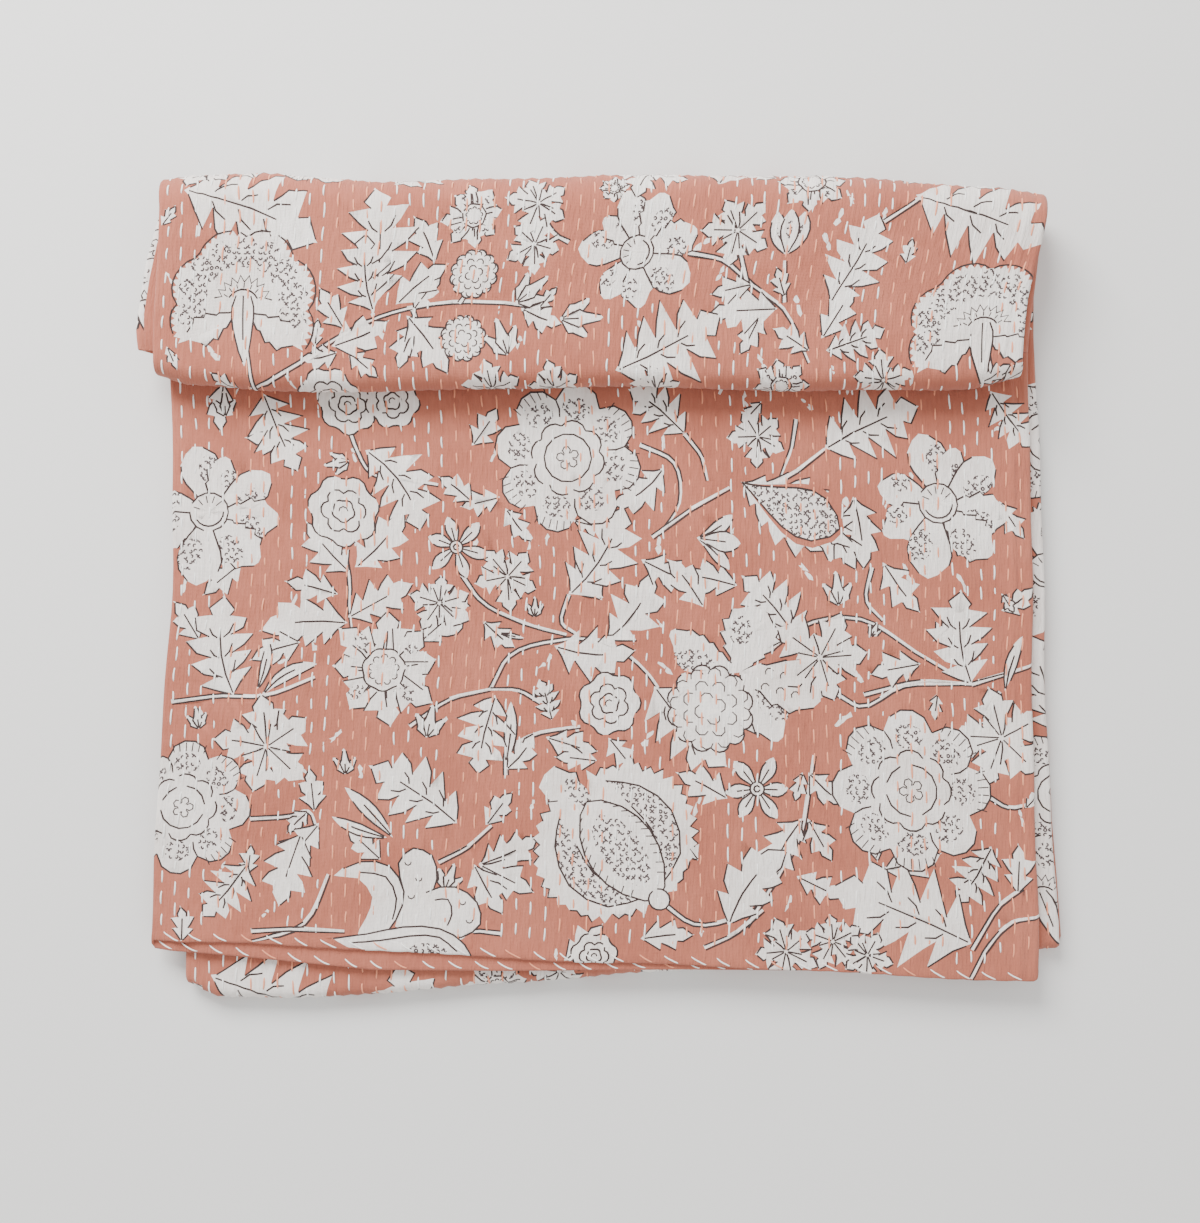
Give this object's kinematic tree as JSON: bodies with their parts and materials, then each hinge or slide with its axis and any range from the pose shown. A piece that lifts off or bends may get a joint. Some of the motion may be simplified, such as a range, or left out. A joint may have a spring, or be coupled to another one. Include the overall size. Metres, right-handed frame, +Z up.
{
  "type": "kantha quilt, folded",
  "caption": "Hand-quilted cotton throw with a floral block print, folded in thirds both ways, its far end turned over as a flap.",
  "frame": {"origin": "under the middle of the folded quilt, on the surface it lies on", "axes": "+X to the right across the pile, +Y away from the viewer towards the far bend, +Z up"},
  "size_m": [0.8102, 0.728, 0.0637],
  "materials": {
    "printed_cotton": "matte woven cotton, dyed terracotta and block printed in off-white with fine dark outlines"
  },
  "bodies": {
    "root": {"quilt": "printed_cotton"}
  },
  "joints": []
}
